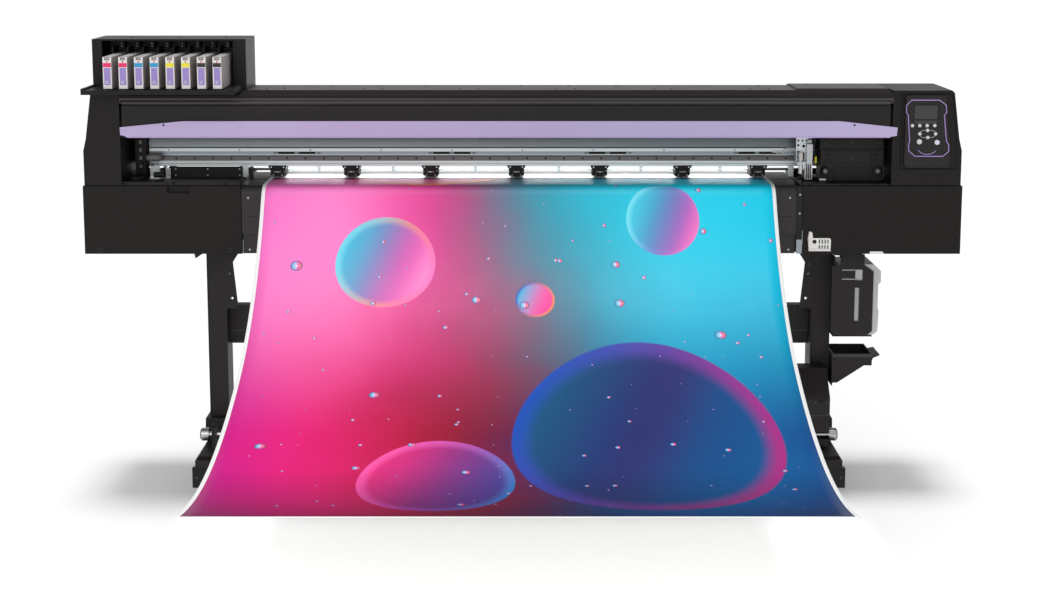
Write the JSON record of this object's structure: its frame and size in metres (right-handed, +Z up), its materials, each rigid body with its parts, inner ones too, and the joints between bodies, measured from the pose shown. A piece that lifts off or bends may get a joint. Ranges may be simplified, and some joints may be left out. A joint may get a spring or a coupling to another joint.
{
  "type": "printer cutter",
  "caption": "Wide roll-fed inkjet printer and cutter on a stand, with hinged cover, travelling carriages, ink cartridges and a printed sheet.",
  "frame": {"origin": "on the floor, in the middle of the whole object's box, with the loaded sheet included", "axes": "+X along the machine's width, to the right as its operator stands in front; +Y to the rear; +Z up"},
  "size_m": [2.78, 2.174, 1.477],
  "materials": {
    "black_metal": "powder coat, fine texture, satin",
    "black_cover": "moulded cover, fine grain",
    "brown_grey_top": "moulded cover, light from above",
    "violet_trim": "satin violet film on black moulding",
    "aluminium": "extruded, anodised",
    "steel": "ground steel",
    "platen_grey": "satin dark grey",
    "dark_plastic": "matt black moulding",
    "rubber": "black rubber",
    "panel_black": "matt membrane panel",
    "key_grey": "satin key",
    "key_lilac": "satin pale key",
    "white_plastic": "white moulding",
    "tank_white": "translucent white blow moulding",
    "media_print": "printed vinyl film, semi gloss",
    "media_white": "white vinyl film roll"
  },
  "bodies": {
    "root": {"stand_frame": "black_metal", "stand_feet": "black_metal", "levelling_feet": "steel", "base_frame": "black_metal", "platen": "platen_grey", "front_apron": "platen_grey", "y_bar": "aluminium", "linear_rail": "steel", "carriage_drive": "steel", "bay_panels": "dark_plastic", "top_cover": "brown_grey_top", "rear_cover": "black_cover", "side_cover_left": "black_cover", "side_cover_right": "black_cover", "control_panel": "panel_black", "ink_cabinet": "black_cover", "tank_holder": "black_metal", "takeup_drive": "black_cover", "media_sheet": "media_print"},
    "front_cover": {"front_cover": "black_cover", "front_cover_trim": "violet_trim"},
    "lower_door_left": {"lower_door_left": "black_cover"},
    "lower_door_right": {"lower_door_right": "black_cover"},
    "print_carriage": {"print_carriage": "black_cover"},
    "cutter_carriage": {"cutter_carriage": "aluminium"},
    "cutter_holder": {"cutter_holder": "steel"},
    "pinch_arms": {"pinch_arms": "dark_plastic"},
    "pinch_rollers": {"pinch_rollers": "rubber"},
    "clamp_lever": {"clamp_lever": "dark_plastic"},
    "capping_station": {"capping_station": "dark_plastic"},
    "grit_roller": {"grit_roller": "steel"},
    "supply_roll": {"supply_roll": "media_white"},
    "takeup_shaft": {"takeup_shaft": "steel"},
    "waste_tank": {"waste_tank": "tank_white"},
    "ink_cartridge_1": {"ink_cartridge_1": "white_plastic"},
    "ink_cartridge_2": {"ink_cartridge_2": "white_plastic"},
    "ink_cartridge_3": {"ink_cartridge_3": "white_plastic"},
    "ink_cartridge_4": {"ink_cartridge_4": "white_plastic"},
    "ink_cartridge_5": {"ink_cartridge_5": "white_plastic"},
    "ink_cartridge_6": {"ink_cartridge_6": "white_plastic"},
    "ink_cartridge_7": {"ink_cartridge_7": "white_plastic"},
    "ink_cartridge_8": {"ink_cartridge_8": "white_plastic"},
    "key_menu": {"key_menu": "key_grey"},
    "key_pause": {"key_pause": "key_grey"},
    "key_base": {"key_base": "key_grey"},
    "key_feed": {"key_feed": "key_grey"},
    "key_up": {"key_up": "key_grey"},
    "key_left": {"key_left": "key_grey"},
    "key_right": {"key_right": "key_grey"},
    "key_down": {"key_down": "key_grey"},
    "key_power": {"key_power": "key_grey"},
    "key_enter": {"key_enter": "key_lilac"},
    "caster_fork_front_left": {"caster_fork_front_left": "steel"},
    "caster_wheel_front_left": {"caster_wheel_front_left": "rubber"},
    "caster_fork_rear_left": {"caster_fork_rear_left": "steel"},
    "caster_wheel_rear_left": {"caster_wheel_rear_left": "rubber"},
    "caster_fork_front_right": {"caster_fork_front_right": "steel"},
    "caster_wheel_front_right": {"caster_wheel_front_right": "rubber"},
    "caster_fork_rear_right": {"caster_fork_rear_right": "steel"},
    "caster_wheel_rear_right": {"caster_wheel_rear_right": "rubber"}
  },
  "joints": [
    {"name": "front_cover_hinge", "type": "hinge", "parent": "root", "child": "front_cover", "pos_m": [-0.0515, 0.457, 1.282], "axis": [-1, 0, 0], "range_deg": [0, 75]},
    {"name": "lower_door_left_hinge", "type": "hinge", "parent": "root", "child": "lower_door_left", "pos_m": [-1.1405, 0.464, 0.812], "axis": [1, 0, 0], "range_deg": [0, 85]},
    {"name": "lower_door_right_hinge", "type": "hinge", "parent": "root", "child": "lower_door_right", "pos_m": [1.1385, 0.464, 0.812], "axis": [1, 0, 0], "range_deg": [0, 85]},
    {"name": "carriage_travel", "type": "slide", "parent": "root", "child": "print_carriage", "axis": [-1, 0, 0], "range_m": [0, 2]},
    {"name": "cutter_carriage_travel", "type": "slide", "parent": "root", "child": "cutter_carriage", "axis": [-1, 0, 0], "range_m": [0, 2]},
    {"name": "cutter_plunge", "type": "slide", "parent": "cutter_carriage", "child": "cutter_holder", "axis": [0, 0, -1], "range_m": [0, 0.005], "stiffness_N_per_m": 200},
    {"name": "clamp_lever_turn", "type": "hinge", "parent": "root", "child": "clamp_lever", "pos_m": [-1.167, 0.628, 1.041], "axis": [-1, 0, 0], "range_deg": [0, 45]},
    {"name": "pinch_lift", "type": "hinge", "parent": "root", "child": "pinch_arms", "pos_m": [-0.0155, 0.698, 1.039], "axis": [-1, 0, 0], "range_deg": [0, 6]},
    {"name": "grit_spin", "type": "hinge", "parent": "root", "child": "grit_roller", "pos_m": [-0.005, 0.657, 1.0032], "axis": [1, 0, 0], "continuous": true},
    {"name": "pinch_roller_spin", "type": "hinge", "parent": "pinch_arms", "child": "pinch_rollers", "pos_m": [-0.0155, 0.657, 1.0303], "axis": [1, 0, 0], "continuous": true},
    {"name": "capping_lift", "type": "slide", "parent": "root", "child": "capping_station", "axis": [0, 0, -1], "range_m": [0, 0.01]},
    {"name": "takeup_spin", "type": "hinge", "parent": "root", "child": "takeup_shaft", "pos_m": [-0.012, 0.512, 0.192], "axis": [1, 0, 0], "continuous": true},
    {"name": "supply_spin", "type": "hinge", "parent": "root", "child": "supply_roll", "pos_m": [-0.012, 0.952, 0.72], "axis": [1, 0, 0], "continuous": true},
    {"name": "cartridge_1_pull", "type": "slide", "parent": "root", "child": "ink_cartridge_1", "axis": [0, -1, 0], "range_m": [0, 0.25]},
    {"name": "cartridge_2_pull", "type": "slide", "parent": "root", "child": "ink_cartridge_2", "axis": [0, -1, 0], "range_m": [0, 0.25]},
    {"name": "cartridge_3_pull", "type": "slide", "parent": "root", "child": "ink_cartridge_3", "axis": [0, -1, 0], "range_m": [0, 0.25]},
    {"name": "cartridge_4_pull", "type": "slide", "parent": "root", "child": "ink_cartridge_4", "axis": [0, -1, 0], "range_m": [0, 0.25]},
    {"name": "cartridge_5_pull", "type": "slide", "parent": "root", "child": "ink_cartridge_5", "axis": [0, -1, 0], "range_m": [0, 0.25]},
    {"name": "cartridge_6_pull", "type": "slide", "parent": "root", "child": "ink_cartridge_6", "axis": [0, -1, 0], "range_m": [0, 0.25]},
    {"name": "cartridge_7_pull", "type": "slide", "parent": "root", "child": "ink_cartridge_7", "axis": [0, -1, 0], "range_m": [0, 0.25]},
    {"name": "cartridge_8_pull", "type": "slide", "parent": "root", "child": "ink_cartridge_8", "axis": [0, -1, 0], "range_m": [0, 0.25]},
    {"name": "waste_tank_pull", "type": "slide", "parent": "root", "child": "waste_tank", "axis": [1, 0, 0], "range_m": [0, 0.17]},
    {"name": "key_menu_press", "type": "slide", "parent": "root", "child": "key_menu", "axis": [0, 1, 0], "range_m": [0, 0.001], "stiffness_N_per_m": 800, "springref_m": -0.0005},
    {"name": "key_pause_press", "type": "slide", "parent": "root", "child": "key_pause", "axis": [0, 1, 0], "range_m": [0, 0.001], "stiffness_N_per_m": 800, "springref_m": -0.0005},
    {"name": "key_base_press", "type": "slide", "parent": "root", "child": "key_base", "axis": [0, 1, 0], "range_m": [0, 0.001], "stiffness_N_per_m": 800, "springref_m": -0.0005},
    {"name": "key_feed_press", "type": "slide", "parent": "root", "child": "key_feed", "axis": [0, 1, 0], "range_m": [0, 0.001], "stiffness_N_per_m": 800, "springref_m": -0.0005},
    {"name": "key_up_press", "type": "slide", "parent": "root", "child": "key_up", "axis": [0, 1, 0], "range_m": [0, 0.001], "stiffness_N_per_m": 800, "springref_m": -0.0005},
    {"name": "key_left_press", "type": "slide", "parent": "root", "child": "key_left", "axis": [0, 1, 0], "range_m": [0, 0.001], "stiffness_N_per_m": 800, "springref_m": -0.0005},
    {"name": "key_right_press", "type": "slide", "parent": "root", "child": "key_right", "axis": [0, 1, 0], "range_m": [0, 0.001], "stiffness_N_per_m": 800, "springref_m": -0.0005},
    {"name": "key_down_press", "type": "slide", "parent": "root", "child": "key_down", "axis": [0, 1, 0], "range_m": [0, 0.001], "stiffness_N_per_m": 800, "springref_m": -0.0005},
    {"name": "key_power_press", "type": "slide", "parent": "root", "child": "key_power", "axis": [0, 1, 0], "range_m": [0, 0.001], "stiffness_N_per_m": 800, "springref_m": -0.0005},
    {"name": "key_enter_press", "type": "slide", "parent": "root", "child": "key_enter", "axis": [0, 1, 0], "range_m": [0, 0.001], "stiffness_N_per_m": 800, "springref_m": -0.0005},
    {"name": "caster_front_left_swivel", "type": "hinge", "parent": "root", "child": "caster_fork_front_left", "pos_m": [-1.005, 0.472, 0.082], "axis": [0, 0, 1], "continuous": true},
    {"name": "caster_front_left_roll", "type": "hinge", "parent": "caster_fork_front_left", "child": "caster_wheel_front_left", "pos_m": [-1.005, 0.492, 0.028], "axis": [1, 0, 0], "continuous": true},
    {"name": "caster_rear_left_swivel", "type": "hinge", "parent": "root", "child": "caster_fork_rear_left", "pos_m": [-1.005, 1.007, 0.082], "axis": [0, 0, 1], "continuous": true},
    {"name": "caster_rear_left_roll", "type": "hinge", "parent": "caster_fork_rear_left", "child": "caster_wheel_rear_left", "pos_m": [-1.005, 1.027, 0.028], "axis": [1, 0, 0], "continuous": true},
    {"name": "caster_front_right_swivel", "type": "hinge", "parent": "root", "child": "caster_fork_front_right", "pos_m": [0.981, 0.472, 0.082], "axis": [0, 0, 1], "continuous": true},
    {"name": "caster_front_right_roll", "type": "hinge", "parent": "caster_fork_front_right", "child": "caster_wheel_front_right", "pos_m": [0.981, 0.492, 0.028], "axis": [1, 0, 0], "continuous": true},
    {"name": "caster_rear_right_swivel", "type": "hinge", "parent": "root", "child": "caster_fork_rear_right", "pos_m": [0.981, 1.007, 0.082], "axis": [0, 0, 1], "continuous": true},
    {"name": "caster_rear_right_roll", "type": "hinge", "parent": "caster_fork_rear_right", "child": "caster_wheel_rear_right", "pos_m": [0.981, 1.027, 0.028], "axis": [1, 0, 0], "continuous": true}
  ],
  "couplings": [
    {"joint": "cutter_carriage_travel", "follows": "carriage_travel", "ratio": 1},
    {"joint": "pinch_lift", "follows": "clamp_lever_turn", "ratio": 0.13323},
    {"joint": "pinch_roller_spin", "follows": "grit_spin", "ratio": -1.6667}
  ]
}
